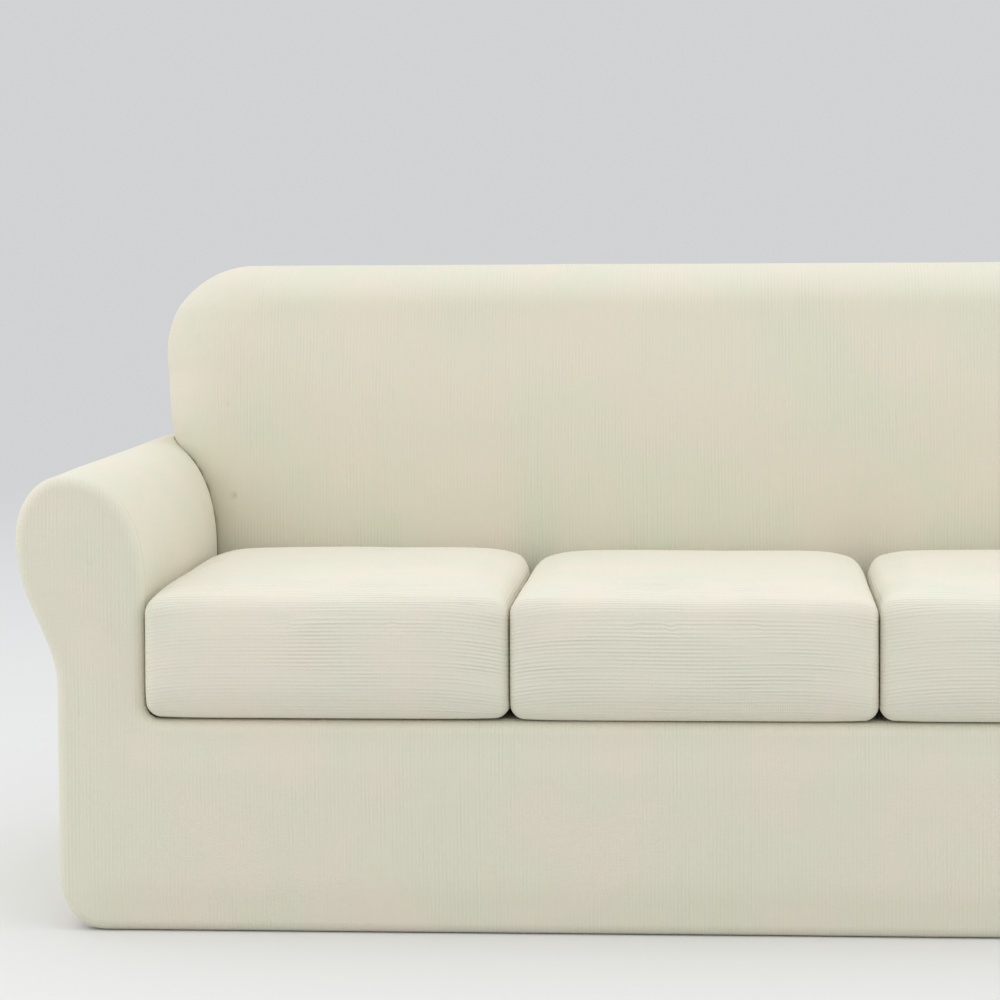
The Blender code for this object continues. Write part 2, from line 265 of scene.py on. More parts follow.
def clamp(value, low=0.0, high=1.0):
    return min(high, max(low, value))


def ease(value):
    """0 below 0, 1 above 1, and a smooth slope between them."""
    value = clamp(value)
    return value * value * (3 - 2 * value)


def dome(value):
    """0 below 0, 1 above 1, and a slope between them that is steep at first, as on a filled bag."""
    return sin(pi / 2 * clamp(value))


def even_steps(points, step, closed=False):
    """The same line with a point every step or so. Its sharp corners keep their points."""
    count = len(points)
    places = [Vector(point) for point in points]
    ends = range(count if closed else count - 1)
    corners = [0]
    for i in range(1, count if closed else count - 1):
        before = places[i] - places[i - 1]
        after = places[(i + 1) % count] - places[i]
        if before.length and after.length and before.angle(after) > SHARP:
            corners.append(i)
    if not closed:
        corners.append(count - 1)
    spaced = []
    for here, there in zip(corners, corners[1:] + ([corners[0] + count] if closed else [])):
        run = [places[i % count] for i in range(here, there + 1)]
        lengths = [(b - a).length for a, b in zip(run, run[1:])]
        total = sum(lengths)
        parts = max(1, round(total / step))
        at, passed = 0, 0.0
        for k in range(parts):
            goal = total * k / parts
            while passed + lengths[at] < goal:
                passed += lengths[at]
                at += 1
            share = (goal - passed) / lengths[at] if lengths[at] else 0.0
            spaced.append(tuple(run[at].lerp(run[at + 1], share)))
    if not closed:
        spaced.append(tuple(places[-1]))
    return spaced


def moved_in(points, distance, closed=True):
    """The line moved sideways to the right of its way, by one distance or one for each point."""
    count = len(points)
    moved = []
    for i in range(count):
        here = Vector(points[i])
        ways = []
        if closed or i > 0:
            ways.append((here - Vector(points[i - 1])).normalized())
        if closed or i < count - 1:
            ways.append((Vector(points[(i + 1) % count]) - here).normalized())
        normals = [Vector((way.y, -way.x)) for way in ways]
        middle = sum(normals, Vector((0, 0))).normalized()
        far = distance[i] if isinstance(distance, list) else distance
        moved.append(tuple(here + middle * (far / max(MITRE_LIMIT, middle.dot(normals[0])))))
    return moved


def arm_curve(rise=0.0):
    """Outer face of the right arm as (x, z), from the deck over the roll to the hem."""
    line = []
    for here, there in zip(ARM_KNOTS, ARM_KNOTS[1:]):
        start, end = Vector((*here[0], 0)), Vector((*there[0], 0))
        leave, arrive = start + Vector((*here[2], 0)), end + Vector((*there[1], 0))
        curve = interpolate_bezier(start, leave, arrive, end, CURVE_POINTS)
        line.extend((point.x, point.y) for point in curve[:-1])
    line.append(ARM_KNOTS[-1][0])
    return [(x, z + rise * clamp((z - DECK_Z) / (CREST_Z - DECK_Z))) for x, z in line]


def back_line(share=0.0):
    """Half outline of the back, from the deck to the middle of its top. Share 1 is its face."""
    inset = BACK_ROUND_SIDE * share
    top = BACK_TOP_Z - BACK_ROUND_TOP * share
    tighter = 1 - BACK_TIGHTER * min(1.0, share)
    radius_x = BACK_CORNER_X * tighter
    radius_z = (BACK_TOP_Z - BACK_WIDEST_Z) * tighter
    shoulder = top - radius_z
    foot = BACK_SIDES[0][0]
    squash = (shoulder - foot) / (BACK_WIDEST_Z - foot)
    line = []
    for (z0, half0), (z1, half1) in zip(BACK_SIDES, BACK_SIDES[1:]):
        for k in range(SIDE_POINTS):
            part = k / SIDE_POINTS
            z = z0 + (z1 - z0) * part
            line.append((half0 + (half1 - half0) * part - inset, foot + (z - foot) * squash))
    half = BACK_SIDES[-1][1] - inset
    for k in range(CORNER_POINTS + 1):
        angle = pi / 2 * k / CORNER_POINTS
        line.append((half - radius_x * (1 - cos(angle)), shoulder + radius_z * sin(angle)))
    for k in range(1, TOP_POINTS + 1):
        line.append(((half - radius_x) * (1 - k / TOP_POINTS), top))
    return line


def whole(half):
    """A half line that ends at x = 0 and its mirror image, from the left end to the right."""
    return [(-x, z) for x, z in half[:-1]] + [half[-1]] + [(x, z) for x, z in reversed(half[:-1])]


def face_y(z):
    """Where the face of the back is at a height: it leans, and draws back towards the seat."""
    up = z - DECK_Z
    return BACK_FACE_Y + BACK_LEAN * up + BACK_FULL * clamp(1 - up / BACK_FULL_UP) ** 2


def round_depth(z):
    """Depth of the rounding behind the inside face: deep at the sides, shallower over the top."""
    at_side = REAR_SEAM_Y - BACK_SIDE_FLAT - face_y(z)
    share = clamp((z - BACK_WIDEST_Z) / (BACK_TOP_Z - BACK_ROUND_TOP - BACK_WIDEST_Z))
    return at_side + (BACK_TOP_DEPTH - at_side) * share


def length_of(line):
    return sum(hypot(b[0] - a[0], b[1] - a[1]) for a, b in zip(line, line[1:]))


print("Cloth over one arm, from the deck to the hem:", round(length_of(arm_curve()), 3), "m")
print("Edge of the back, over its top:", round(2 * length_of(back_line()), 3), "m")

# %% [markdown]
# ## Three ways to lay out cloth
#
# Each piece keeps its flat pattern as a vertex attribute in metres, and the last step copies it to
# a UV map. The ribs of the knit run along the map's second direction.
#
# A long piece, such as a sleeve, is a grid that is laid over its form. A face with a turned edge,
# such as the front panel, starts as its outline and is extruded row by row over the edge and onto
# the face. The face is then closed and cut into squares, so that it can swell. A cushion cover is
# a cube that is subdivided and eased round. A last helper gives the cloth its thickness.

# %% Make the cloth helpers
UNEVEN = 0.0009          # hand-stretched cloth is never quite even
UNEVEN_PITCH = 5.5       # the higher, the closer its hollows lie
UNEVEN_SEED = 5          # without a seed, Blender's noise vectors differ from run to run
CUT_ASIDE = 0.00013      # a cut through a point of the outline would leave it unconnected

noise.seed_set(UNEVEN_SEED)


def settle(place, amount=UNEVEN):
    """A small shift of a point, the same for neighbours, as where taut cloth lies unevenly."""
    return noise.noise_vector(Vector(place) * UNEVEN_PITCH) * amount


def new_cloth(name):
    bm = bmesh.new()
    return bm, bm.verts.layers.float_vector.new("flat")


def laid_grid(bm, flat, columns, rows, lay):
    """A grid of cloth; lay(i, j) gives the place and the flat place of column i and row j."""
    made = bmesh.ops.create_grid(bm, x_segments=columns - 1, y_segments=rows - 1, size=0.5)
    for vert in made["verts"]:
        i = round((vert.co.x + 0.5) * (columns - 1))
        j = round((vert.co.y + 0.5) * (rows - 1))
        vert.co, vert[flat] = lay(i, j)
    return made["verts"]


def edged_face(bm, flat, rows, flat_rows, squares, closed=True):
    """Extrude an outline row by row, close the last row and cut it into squares."""
    first = [bm.verts.new(place) for place in rows[0]]
    for vert, (u, v) in zip(first, flat_rows[0]):
        vert[flat] = (u, v, 0)
    ends = first[:1] if closed else []
    ring = [bm.edges.new((a, b)) for a, b in zip(first, first[1:] + ends)]
    line = first
    for row, flat_row in zip(rows[1:], flat_rows[1:]):
        made = bmesh.ops.extrude_edge_only(bm, edges=ring)["geom"]
        fresh = {item for item in made if isinstance(item, bmesh.types.BMVert)}
        across = [[edge.other_vert(vert) for edge in vert.link_edges] for vert in line]
        line = [next(other for other in others if other in fresh) for others in across]
        ends = line[:1] if closed else []
        ring = [bm.edges.get((a, b)) for a, b in zip(line, line[1:] + ends)]
        for vert, place, (u, v) in zip(line, row, flat_row):
            vert.co = place
            vert[flat] = (u, v, 0)
    face = bm.faces.new(line)
    inner = [face]
    corners = [vert.co for vert in line]
    for axis in (0, 2):
        low = min(place[axis] for place in corners)
        high = max(place[axis] for place in corners)
        count = max(1, round((high - low) / squares))
        for k in range(1, count):
            cut = Vector((0, 0, 0))
            cut[axis] = low + (high - low) * k / count + CUT_ASIDE
            normal = Vector((0, 0, 0))
            normal[axis] = 1
            edges = {edge for part in inner for edge in part.edges}
            verts = {vert for part in inner for vert in part.verts}
            made = bmesh.ops.bisect_plane(
                bm, geom=[*verts, *edges, *inner], dist=0.0001, plane_co=cut, plane_no=normal)
            inner = [item for item in made["geom"] if isinstance(item, bmesh.types.BMFace)]
    return inner


def face_toward(bm, toward):
    """Turn all faces one way, with the one that lies furthest along a direction facing that way."""
    bmesh.ops.recalc_face_normals(bm, faces=bm.faces[:])
    toward = Vector(toward)
    outermost = max(bm.faces, key=lambda face: face.calc_center_median().dot(toward))
    if outermost.normal.dot(toward) < 0:
        bmesh.ops.reverse_faces(bm, faces=bm.faces[:])


def flat_to_uv(bm, flat):
    uv = bm.loops.layers.uv.new("cloth")
    for face in bm.faces:
        for loop in face.loops:
            loop[uv].uv = loop.vert[flat].xy


def cloth_object(name, bm):
    """Turn the mesh into a piece of cloth with its thickness on the inside."""
    mesh = bpy.data.meshes.new(name)
    bm.to_mesh(mesh)
    bm.free()
    mesh.shade_smooth()
    piece = bpy.data.objects.new(name, mesh)
    bpy.context.scene.collection.objects.link(piece)
    shell = piece.modifiers.new("cloth", "SOLIDIFY")
    shell.thickness = CLOTH
    shell.offset = -1.0
    shell.use_even_offset = True
    return piece


def finished(piece, node, material):
    """Give the piece its knit, hide the part it stands for, attach it to the root and print its
    box.
    """
    piece.data.materials.clear()
    piece.data.materials.append(material)
    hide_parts(node)
    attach(piece, "root")
    evaluated = piece.evaluated_get(bpy.context.evaluated_depsgraph_get())
    corners = [Vector(corner) for corner in evaluated.bound_box]
    low = [round(min(corner[axis] for corner in corners), 3) for axis in range(3)]
    high = [round(max(corner[axis] for corner in corners), 3) for axis in range(3)]
    triangles = sum(len(face.vertices) - 2 for face in evaluated.data.polygons)
    print(piece.name, "from", low, "to", high, "with", triangles, "triangles")

# %% [markdown]
# ## The ribbed knit
#
# The cloth is a fine rib knit in ivory. Each rib is a column of stitches about 5.5 mm wide, with a
# shallow valley beside it. Real ribs would need millions of faces, so the shader makes them, as a
# wave across the pattern that drives a bump. The same wave paints light on the ribs and shade in
# the valleys, so the ribs come out a little lighter than the valleys.
#
# Three things keep it from looking printed: the ribs wander a little, they fade and return along
# their length, and the yarn's tone drifts between a warm and a greenish ivory. The cushions are
# covered in the same knit, in a lighter tone.

# %% Make the knit
RIB_PITCH = 0.0055
STITCH_PITCH = 0.0032
RIB_WANDER = 2.6         # radians that a rib strays to either side
RIB_DEPTH = 0.0011
RIB_PAINTED_SHADING = 0.055         # painted light on the ribs and painted shade in the valleys
RIB_LEAST = 0.32         # share of the ribs' strength that is left where they are faintest
STITCH_DEPTH = 0.09      # as a share of the rib's, and so is the fluff's
FLUFF_DEPTH = 0.30
STREAKS = (0.55 / RIB_PITCH, 7.0, 1.0)   # how often ribs fade: across them, and along them
WANDER_SCALE = 5.0       # the larger a scale, the smaller the clouds
PATCH_SCALE = 8.0
TONE_SCALE = 8.5
FLUFF_SCALE = 900.0
CLOUD_RANGE = (("From Min", 0.3), ("From Max", 0.7))     # most of a cloud's values lie in it


def knit(name, warm, cool, ribbed):
    """Ribbed stretch knit that follows the piece's flat pattern, with ribs along its V."""
    material, tree, shader = principled(name)
    shader.inputs["Roughness"].default_value = 0.86
    shader.inputs["Specular IOR Level"].default_value = 0.25
    shader.inputs["Sheen Weight"].default_value = 0.22
    shader.inputs["Sheen Roughness"].default_value = 0.55
    shader.inputs["Sheen Tint"].default_value = (1.0, 0.98, 0.93, 1)

    pattern = add_node(tree, "ShaderNodeUVMap", uv_map="cloth")
    parts = add_node(tree, "ShaderNodeSeparateXYZ")
    tree.links.new(pattern.outputs["UV"], parts.inputs["Vector"])
    place = add_node(tree, "ShaderNodeTexCoord").outputs["Object"]

    def math(operation, first, second=None, third=None):
        node = add_node(tree, "ShaderNodeMath", operation=operation)
        for socket, value in zip(node.inputs, (first, second, third)):
            if isinstance(value, (int, float)):
                socket.default_value = value
            elif value is not None:
                tree.links.new(value, socket)
        return node.outputs["Value"]

    def cloud(vector, scale, detail=2.0):
        node = add_node(tree, "ShaderNodeTexNoise", scale=scale, detail=detail, roughness=0.5)
        tree.links.new(vector, node.inputs["Vector"])
        return node.outputs["Fac"]

    def spread(value, low, high):
        node = add_node(tree, "ShaderNodeMapRange")
        tree.links.new(value, node.inputs["Value"])
        for socket, number in (*CLOUD_RANGE, ("To Min", low), ("To Max", high)):
            node.inputs[socket].default_value = number
        return node.outputs["Result"]

    across, along = parts.outputs["X"], parts.outputs["Y"]
    aside = math("SUBTRACT", cloud(place, WANDER_SCALE, 0.0), 0.5)
    wander = math("MULTIPLY", aside, RIB_WANDER * 2)
    turn = math("MULTIPLY_ADD", across, 2 * pi / RIB_PITCH, wander)
    wave = math("SINE", turn)
    rib = math("MULTIPLY_ADD", wave, 0.5, 0.5)

    streaks = add_node(tree, "ShaderNodeVectorMath", operation="MULTIPLY")
    tree.links.new(pattern.outputs["UV"], streaks.inputs[0])
    streaks.inputs[1].default_value = STREAKS
    fading = spread(cloud(streaks.outputs["Vector"], 1.0, 1.0), 0.0, 1.0)
    patches = spread(cloud(place, PATCH_SCALE, 1.0), RIB_LEAST * ribbed, ribbed)
    strength = math("MULTIPLY", fading, patches)

    stitch = math("SINE", math("MULTIPLY_ADD", along, 2 * pi / STITCH_PITCH, wave))
    fluff = cloud(place, FLUFF_SCALE, 3.0)
    height = math("MULTIPLY", rib, strength)
    height = math("MULTIPLY_ADD", stitch, STITCH_DEPTH, height)
    height = math("MULTIPLY_ADD", fluff, FLUFF_DEPTH, height)
    bump = add_node(tree, "ShaderNodeBump")
    bump.inputs["Strength"].default_value = 0.55
    bump.inputs["Distance"].default_value = RIB_DEPTH
    tree.links.new(height, bump.inputs["Height"])
    tree.links.new(bump.outputs["Normal"], shader.inputs["Normal"])

    drift = add_node(tree, "ShaderNodeMix", data_type="RGBA")
    drift.inputs["A"].default_value = (*warm, 1)
    drift.inputs["B"].default_value = (*cool, 1)
    tree.links.new(spread(cloud(place, TONE_SCALE, 3.0), 0.0, 1.0), drift.inputs["Factor"])
    # The rib wave also paints light on the ribs and shade in the valleys, into the base colour.
    painted_rib_shade = math("MULTIPLY", wave, strength)
    tone_with_painted_rib_shade = add_node(tree, "ShaderNodeVectorMath", operation="SCALE")
    tree.links.new(drift.outputs["Result"], tone_with_painted_rib_shade.inputs[0])
    tree.links.new(math("MULTIPLY_ADD", painted_rib_shade, RIB_PAINTED_SHADING, 1.0), tone_with_painted_rib_shade.inputs["Scale"])
    tree.links.new(tone_with_painted_rib_shade.outputs["Vector"], shader.inputs["Base Color"])
    return material


body_knit = knit(
    "ivory_rib_knit", warm=(0.755, 0.695, 0.580), cool=(0.700, 0.700, 0.565), ribbed=0.80)
seat_knit = knit(
    "ivory_rib_knit_seat", warm=(0.770, 0.715, 0.605), cool=(0.725, 0.722, 0.600), ribbed=1.7)
print("Ribs every", RIB_PITCH * 1000, "mm; stitches every", STITCH_PITCH * 1000, "mm")

# %% [markdown]
# ## The front panel
#
# The front panel is one U-shaped piece: a skirt across the front, and the two arm fronts that rise
# from it and end in the round of the rolls. Round its whole edge it is eased back to the seam.
#
# A subdivided plane would need its edge fitted to the rolls afterwards. Here the outline comes
# first and the edge is extruded from it, so the roll's curve and the seam are exact, and the last
# row is closed and cut into squares. The stuffing behind makes the panel swell a little.

# %% Make the front panel
EDGE_STEPS = 8
SEAM_FALL = 0.003        # the cloth sinks into a seam over this width
OUTLINE_STEP = 0.008
PANEL_SQUARES = 0.014
RING_STEP = 0.003
ARM_FRONT_SWELL = 0.0045
SWELL_WIDTH = 0.060
INNER_ROUND = 0.022      # the cloth rounds off the corner where arm and deck meet
INNER_STEPS = 6


def edge_rows(outline, face_at, seam_at):
    """Rows from the seam round the edge and onto the face, each with its flat row."""
    toward = 1 if seam_at > face_at else -1
    straight = abs(seam_at - face_at) - EDGE_ROUND
    quarter = pi / 2 * EDGE_ROUND
    rows, flats = [], []
    for inset, back in ((SEAM_DIP, straight), (0.0, straight - SEAM_FALL)):
        y = face_at + toward * (EDGE_ROUND + back)
        rows.append([(x, y, z) for x, z in moved_in(outline, inset)])
        flats.append(moved_in(outline, EDGE_ROUND - quarter - back))
    for k in range(EDGE_STEPS + 1):
        angle = pi / 2 * k / EDGE_STEPS
        y = face_at + toward * EDGE_ROUND * (1 - sin(angle))
        rows.append([(x, y, z) for x, z in moved_in(outline, EDGE_ROUND * (1 - cos(angle)))])
        flats.append(moved_in(outline, EDGE_ROUND - (quarter - EDGE_ROUND * angle)))
    return rows, flats


def swell(bm, inner, ring, amount, width, toward, shape=ease):
    """Push the inside of a face outwards: nothing at its edge, the full amount at some width."""
    ring = even_steps(ring, RING_STEP)
    edge = kdtree.KDTree(len(ring))
    for index, place in enumerate(ring):
        edge.insert(place, index)
    edge.balance()
    for vert in {vert for face in inner for vert in face.verts}:
        distance = edge.find(vert.co)[2]
        vert.co += Vector(toward) * amount * shape(distance / width)


corner = []
for k in range(INNER_STEPS + 1):
    angle = pi / 2 * k / INNER_STEPS
    corner.append((
        ARM_INNER_X - INNER_ROUND * (1 - sin(angle)), DECK_Z + INNER_ROUND * (1 - cos(angle))))
front_arm = corner + [
    point for point in arm_curve() if point[0] >= SKIRT_HALF or point[1] > DECK_Z + INNER_ROUND]
front_line = [(-x, z) for x, z in reversed(front_arm)] + front_arm
front_line = even_steps(front_line, OUTLINE_STEP, closed=True)
rows, flats = edge_rows(front_line, FRONT_Y, FRONT_SEAM_Y)
bm, flat = new_cloth("front_panel")
inner = edged_face(bm, flat, rows, flats, PANEL_SQUARES)
swell(bm, inner, rows[-1], ARM_FRONT_SWELL, SWELL_WIDTH, (0, -1, 0))
for vert in bm.verts:
    vert.co.y += settle(vert.co).y
face_toward(bm, (0, -1, 0))
flat_to_uv(bm, flat)
front_panel = cloth_object("front_panel_knit", bm)
finished(front_panel, "front_panel", body_knit)

# %% [markdown]
# ## The arm sleeves
#
# A sleeve is a straight strip of knit. It runs up the inside of the arm, over the roll, down the
# outside and under the frame, and from the seam at the front panel to the seam at the back. Where
# the backrest is in its way it curls in and is tucked into the crease between arm and back.
#
# That is a grid laid over one section, so the strip keeps its rows, and its pattern is simply its
# length and width. A block with the shape of the backrest says how far each point is from the
# crease, and so how deep it curls. The same block then cuts the strip with a Boolean modifier, as
# the sewer's scissors do. An edge that fits is worth the few uneven faces along it.

# %% Make the rows of the backrest
BACK_STEPS = 14
BACK_TURN = radians(84)  # the round meets the face before it is level, as the face is crowned
BLOCK_SQUARES = 0.050


def back_rows(grow=0.0):
    """Rows of the inside back from its rear seam round the edge to the face."""
    def ring(share):
        return moved_in(whole(back_line(share)), -grow, closed=False)

    rows = [[(x, REAR_SEAM_Y - GAP, z) for x, z in ring(0.0)]]
    for k in range(BACK_STEPS + 1):
        angle = BACK_TURN * k / BACK_STEPS
        line = ring(1 - cos(angle))
        rows.append([(x, face_y(z) + round_depth(z) * (1 - sin(angle)) - grow, z) for x, z in line])
    return rows


def follow_face(inner, grow=0.0):
    """Lay the squares of the back's face along its curve, as cutting alone leaves them straight."""
    for vert in {vert for face in inner for vert in face.verts}:
        vert.co.y = face_y(vert.co.z) + round_depth(vert.co.z) * (1 - sin(BACK_TURN)) - grow


def scissors(name, bm):
    """A hidden solid that cuts cloth."""
    bmesh.ops.recalc_face_normals(bm, faces=bm.faces[:])
    mesh = bpy.data.meshes.new(name)
    bm.to_mesh(mesh)
    bm.free()
    solid = bpy.data.objects.new(name, mesh)
    bpy.context.scene.collection.objects.link(solid)
    return solid


def cut_away(piece, *solids):
    """Cut a piece of cloth along solids, and make its thickness and the cut part of its mesh."""
    for solid in solids:
        trim = piece.modifiers.new("trim", "BOOLEAN")
        trim.operation = "DIFFERENCE"
        trim.solver = "EXACT"
        trim.object = solid
    evaluated = piece.evaluated_get(bpy.context.evaluated_depsgraph_get())
    shape = bpy.data.meshes.new_from_object(evaluated)
    piece.modifiers.clear()
    piece.data = shape
    shape.name = piece.name
    shape.shade_smooth()


block_rows = back_rows(grow=GAP)
block_rows[0] = [(x, REAR_Y + SEAM_IN, z) for x, _, z in block_rows[0]]
for row in block_rows:
    for end in (0, -1):
        row[end] = (row[end][0], row[end][1], DECK_Z - SEAM_IN)
bm, flat = new_cloth("backrest_block")
no_pattern = [[(x, z) for x, _, z in row] for row in block_rows]
inner = edged_face(bm, flat, block_rows, no_pattern, BLOCK_SQUARES)
follow_face(inner, GAP)
bmesh.ops.holes_fill(bm, edges=[edge for edge in bm.edges if edge.is_boundary], sides=0)
backrest_block = scissors("backrest_block", bm)
print("The backrest block has", len(backrest_block.data.polygons), "faces")

# %% Lay and cut the sleeves
SLEEVE_STEP = 0.007
SLEEVE_ROWS = 140
CURL_WIDTH = 0.030
CURL_DEPTH = 0.005
CURL_BEND = 2.4          # the higher, the later the cloth turns in
CURL_SIDE_X = 0.895      # it ends at the side of the backrest
CURL_FADES = (0.10, 0.06, 0.03)  # distances over which it ends: deck, rear seam, side


def curl(place):
    """How deep a sleeve curls in at a place, as it nears the backrest."""
    _, spot, outward, _ = backrest_block.closest_point_on_mesh(place)
    away = place - spot
    inside = away.dot(outward) < 0 and away.length < CURL_WIDTH
    near = 1 if inside else clamp(1 - away.length / CURL_WIDTH)
    above_deck = ease((place.z - DECK_Z) / CURL_FADES[0])
    before_seam = ease((REAR_SEAM_Y - place.y) / CURL_FADES[1])
    beside = ease((CURL_SIDE_X - abs(place.x)) / CURL_FADES[2])
    return CURL_DEPTH * near ** CURL_BEND * above_deck * before_seam * beside


sleeves = []
for name, side in (("arm_left", -1), ("arm_right", 1)):
    section = even_steps(arm_curve(), SLEEVE_STEP)
    sunk = moved_in(section, SEAM_DIP, closed=False)
    run = [0.0]
    for a, b in zip(section, section[1:]):
        run.append(run[-1] + hypot(b[0] - a[0], b[1] - a[1]))
    near, far = FRONT_SEAM_Y + GAP, REAR_SEAM_Y - GAP
    between = far - near - 2 * SEAM_FALL
    stops = [SEAM_FALL + between * k / SLEEVE_ROWS for k in range(SLEEVE_ROWS + 1)]
    stops = [0.0] + stops + [far - near]

    def lay(i, j):
        x, z = section[i]
        inward = (Vector(sunk[i]) - Vector(section[i])) / SEAM_DIP
        share = clamp((z - DECK_Z) / (CREST_Z - DECK_Z))
        place = Vector((side * x, near + stops[j], z + ARM_RISE * share * stops[j] / (far - near)))
        deep = curl(place) + (SEAM_DIP if j in (0, len(stops) - 1) else 0)
        if 0 < i < len(section) - 1:
            place += Vector((settle(place).x, 0, settle(place).z))
        place += Vector((side * inward.x, 0, inward.y)) * deep
        return place, (stops[j], run[i], 0)

    bm, flat = new_cloth(name)
    laid_grid(bm, flat, len(section), len(stops), lay)
    face_toward(bm, (side, 0, 0))
    flat_to_uv(bm, flat)
    sleeve = cloth_object(name + "_sleeve_knit", bm)
    cut_away(sleeve, backrest_block)
    finished(sleeve, name, body_knit)
    sleeves.append(sleeve)
bpy.data.objects.remove(backrest_block)
print("Two sleeves of", len(section), "by", len(stops), "points")

# %% [markdown]
# ## The inside of the back
#
# The inside back covers the front, the top and both sides of the backrest in one stretched piece.
# The sofa's stuffing makes its face full, and at the sides and over the top it turns back in a
# large soft round to the seam at the rear.
#
# A scaled and bevelled block would make the round the same everywhere. Here each row is a line
# round the backrest, from the seam to the edge of the face, so the round is deep at the sides and
# tight over the top. The parts inside the arms are then cut away along the arms' own section, a
# little way in, so that no slit shows behind the curled ends of the sleeves.

# %% Make the inside back
BACK_SQUARES = 0.016
BACK_FULL_WIDTH = 0.200
TAUT_UNEVEN = 1.5 * UNEVEN       # wide pieces lie less evenly
TUCK = 0.007             # the back reaches this far behind the sleeves' curled ends

rows = back_rows()
base = [Vector((x, z)) for x, _, z in rows[-1]]
outward = [
    (Vector(far) - here).normalized()
    for far, here in zip(moved_in(base, -1, closed=False), base)]
reach, slid = [0.0] * len(base), [0.0] * len(base)
flats = [base]
for outer, nearer in zip(reversed(rows[:-1]), reversed(rows[1:])):
    for i, (a, b) in enumerate(zip(outer, nearer)):
        step = Vector(a) - Vector(b)
        sideways = step.dot(Vector((outward[i].y, 0, -outward[i].x)))
        slid[i] += sideways
        reach[i] += max(0, step.length_squared - sideways ** 2) ** 0.5
    flats.append([
        here + way * far + Vector((way.y, -way.x)) * aside
        for here, way, far, aside in zip(base, outward, reach, slid)])
flats.reverse()
bm, flat = new_cloth("inside_back")
inner = edged_face(bm, flat, rows, flats, BACK_SQUARES, closed=False)
follow_face(inner)
swell(bm, inner, rows[-1], BACK_CROWN, BACK_FULL_WIDTH, (0, -1, 0), dome)
for vert in bm.verts:
    if vert.co.y < REAR_SEAM_Y - 2 * SEAM_IN:
        vert.co += settle(vert.co, TAUT_UNEVEN)
face_toward(bm, (0, -1, 0))
flat_to_uv(bm, flat)
inside_back = cloth_object("inside_back_knit", bm)

arm_blocks = []
for side in (-1, 1):
    near_line = moved_in(even_steps(arm_curve(), SLEEVE_STEP), TUCK, closed=False)
    far_line = moved_in(even_steps(arm_curve(ARM_RISE), SLEEVE_STEP), TUCK, closed=False)
    bm = bmesh.new()
    verts = [bm.verts.new((side * x, FRONT_Y, z)) for x, z in near_line]
    cap = bm.faces.new(verts)
    made = bmesh.ops.extrude_face_region(bm, geom=[cap], use_keep_orig=True)["geom"]
    ends = [item for item in made if isinstance(item, bmesh.types.BMVert)]
    lifts = {(round(side * x, 5), round(z, 5)): far for (x, z), far in zip(near_line, far_line)}
    for vert in ends:
        x, z = lifts[round(vert.co.x, 5), round(vert.co.z, 5)]
        vert.co = (side * x, REAR_Y + SEAM_IN, z)
    arm_blocks.append(scissors("arm_block", bm))
cut_away(inside_back, *arm_blocks)
for block in arm_blocks:
    bpy.data.objects.remove(block)

finished(inside_back, "inside_back", body_knit)

# %% [markdown]
# ## The outside of the back
#
# The rear piece is flat and taut. It reaches from the top of the backrest to the hem, and its
# outline takes in the rolls of the arms. It is made as the front panel is.

# %% Make the outside back
REAR_SWELL = -0.004      # it is taut between its edges, so it draws in
REAR_SWELL_WIDTH = 0.220
NOTCH = 0.002            # the back's outline starts this far in, over the roll

crest_z = CREST_Z + ARM_RISE
arm_side = arm_curve(ARM_RISE)
crest = max(range(len(arm_side)), key=lambda i: arm_side[i][1])
outer_arm = [point for point in arm_side[crest:] if point[0] >= SKIRT_HALF]
back_side = [point for point in back_line() if point[1] > crest_z + EDGE_ROUND]
notch = (back_side[0][0] - NOTCH, crest_z)
rear_line = whole(list(reversed(outer_arm)) + [notch] + back_side)
rear_line = even_steps(rear_line, OUTLINE_STEP, closed=True)
rows, flats = edge_rows(rear_line, REAR_Y, REAR_SEAM_Y)
bm, flat = new_cloth("outside_back")
inner = edged_face(bm, flat, rows, flats, PANEL_SQUARES)
swell(bm, inner, rows[-1], REAR_SWELL, REAR_SWELL_WIDTH, (0, 1, 0))
for vert in bm.verts:
    vert.co.y -= abs(settle(vert.co, TAUT_UNEVEN).y)
face_toward(bm, (0, 1, 0))
flat_to_uv(bm, flat)
outside_back = cloth_object("outside_back_knit", bm)
finished(outside_back, "outside_back", body_knit)

# %% [markdown]
# ## The seat deck
#
# Under the cushions lies a plain flat piece that joins the front panel, the arms and the back. It
# is a grid as well, and stays flat, because the seat frame and the cushions hold it between them.

# %% Make the seat deck
DECK_COLUMNS, DECK_ROWS = 120, 42

deck_half = ARM_INNER_X - GAP
deck_near, deck_far = FRONT_SEAM_Y + GAP, face_y(DECK_Z) - GAP


def lay_deck(i, j):
    x = deck_half * (2 * i / (DECK_COLUMNS - 1) - 1)
    y = deck_near + (deck_far - deck_near) * j / (DECK_ROWS - 1)
    return Vector((x, y, DECK_Z)), (x, y, 0)


bm, flat = new_cloth("seat_deck")
laid_grid(bm, flat, DECK_COLUMNS, DECK_ROWS, lay_deck)
face_toward(bm, (0, 0, 1))
flat_to_uv(bm, flat)
seat_deck = cloth_object("seat_deck_knit", bm)
finished(seat_deck, "seat_deck", body_knit)

# %% [markdown]
# ## The cushion covers
#
# Each loose cushion has its own fitted cover. It is smooth over the front, top and sides, and open
# underneath, where an elastic hem is turned under. The cushion's filling rounds its edges, crowns
# its top and swells its front.
#
# A cover starts as a cube that is subdivided into even squares. Every point is eased onto a box
# with round edges, and the top is crowned. Then the filling pushes: a short cloth simulation with
# pressure lets the knit find its own tension. How far it may move is limited to a few millimetres,
# so that the covers stay clear of each other. Last the underside is opened, within its hem.

